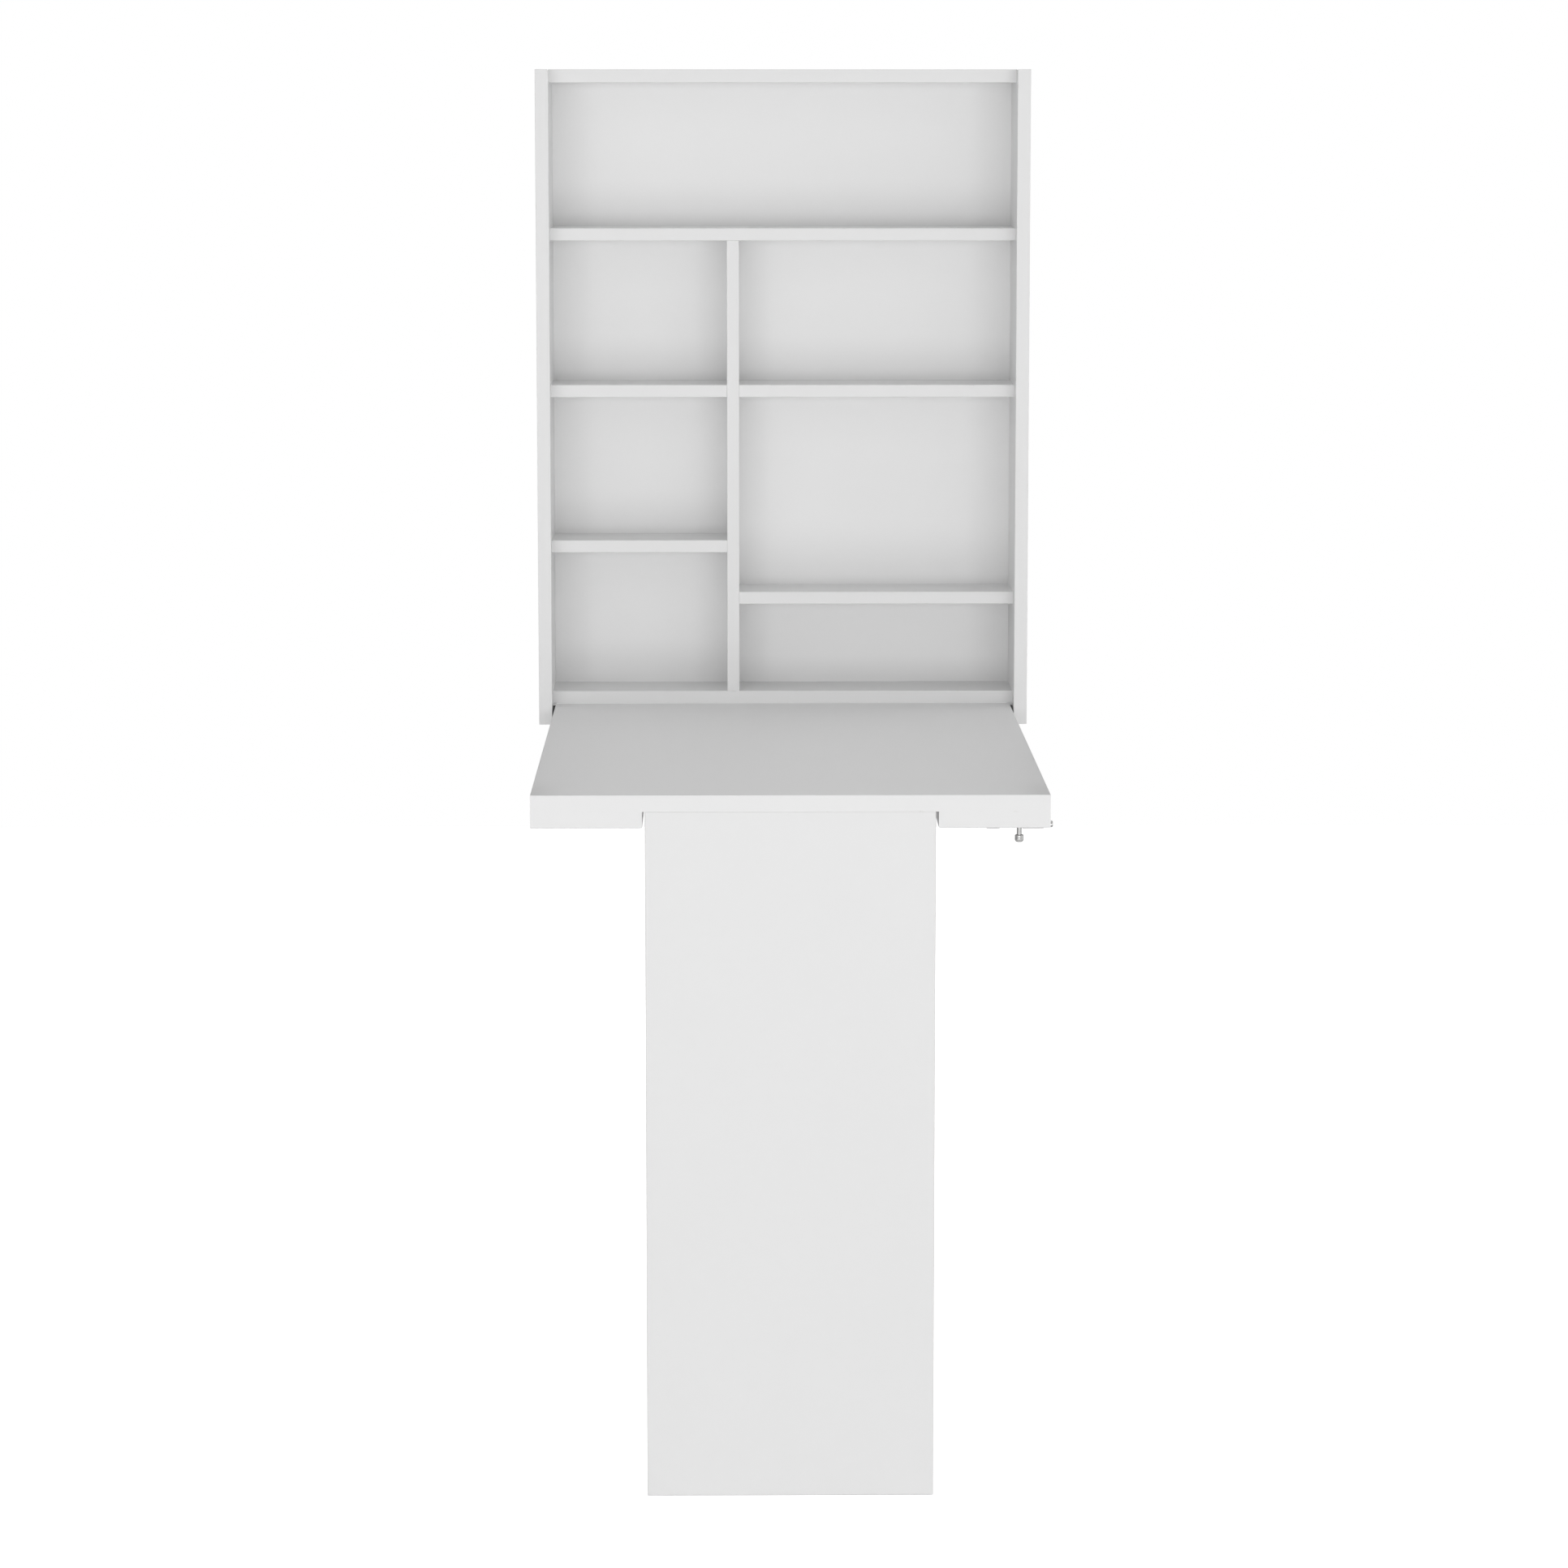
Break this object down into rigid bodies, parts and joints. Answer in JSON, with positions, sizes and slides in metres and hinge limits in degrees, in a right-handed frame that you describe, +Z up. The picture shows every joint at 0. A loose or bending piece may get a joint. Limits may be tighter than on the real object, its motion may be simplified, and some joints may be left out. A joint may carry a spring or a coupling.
{
  "type": "wall-hung secretary desk",
  "caption": "Wall-hung shelf cabinet with a fold-down desktop that closes flush between its sides and a board leg that folds into the desktop.",
  "frame": {"origin": "centre of the wall cleat's two screw holes, in the wall plane", "axes": "+X to the right of a person facing the cabinet, +Y into the wall, +Z up; the floor is at z = -1.444 m"},
  "size_m": [0.6, 0.9135, 1.554],
  "materials": {
    "cabinet_board": "white melamine, satin, with raw chipboard rear edges",
    "back_board": "hardboard, painted satin white in front and bare brown behind",
    "cleat_wood": "bare plywood",
    "dowel_wood": "bare beech",
    "zinc": "cast zinc, dull",
    "steel_pin": "zinc-plated steel",
    "nylon": "black nylon",
    "desk_board": "white melamine, satin",
    "leg_board": "white melamine, satin",
    "hinge_steel": "nickel-plated steel",
    "screw_steel": "nickel-plated steel",
    "bolt_plate_steel": "nickel-plated steel",
    "bolt_bright": "polished dark nickel plate"
  },
  "bodies": {
    "cabinet": {"side_panel_left": "cabinet_board", "side_panel_right": "cabinet_board", "top_panel": "cabinet_board", "bottom_panel": "cabinet_board", "upper_shelf": "cabinet_board", "divider": "cabinet_board", "left_shelf_upper": "cabinet_board", "left_shelf_lower": "cabinet_board", "right_shelf_upper": "cabinet_board", "right_shelf_lower": "cabinet_board", "back_panel": "back_board", "hanging_cleat": "cleat_wood", "wall_cleat": "cleat_wood", "cam_housings": "zinc", "cam_bolts": "steel_pin", "dowels": "dowel_wood", "pivot_pins": "steel_pin"},
    "desktop": {"desktop_board": "desk_board", "outer_strip_left": "desk_board", "outer_strip_right": "desk_board", "pivot_bushings": "nylon", "leg_hinge_board_leaves": "hinge_steel", "leg_hinge_pins": "steel_pin", "leg_hinge_board_screws": "screw_steel", "bolt_guide_plate": "bolt_plate_steel", "bolt_plate_screws": "screw_steel"},
    "leg": {"leg_panel": "leg_board", "leg_hinge_leg_leaves": "hinge_steel", "leg_hinge_leg_screws": "screw_steel"},
    "bolt": {"bolt_rod": "bolt_bright", "bolt_knob": "bolt_bright"}
  },
  "joints": [
    {"name": "desk_fold", "type": "hinge", "parent": "cabinet", "child": "desktop", "pos_m": [0, -0.128, -0.6755], "axis": [-1, 0, 0], "range_deg": [0, 90]},
    {"name": "leg_fold", "type": "hinge", "parent": "desktop", "child": "leg", "pos_m": [0, -0.897, -0.686], "axis": [1, 0, 0], "range_deg": [0, 90]},
    {"name": "bolt_slide", "type": "slide", "parent": "desktop", "child": "bolt", "axis": [-1, 0, 0], "range_m": [0, 0.012]}
  ]
}
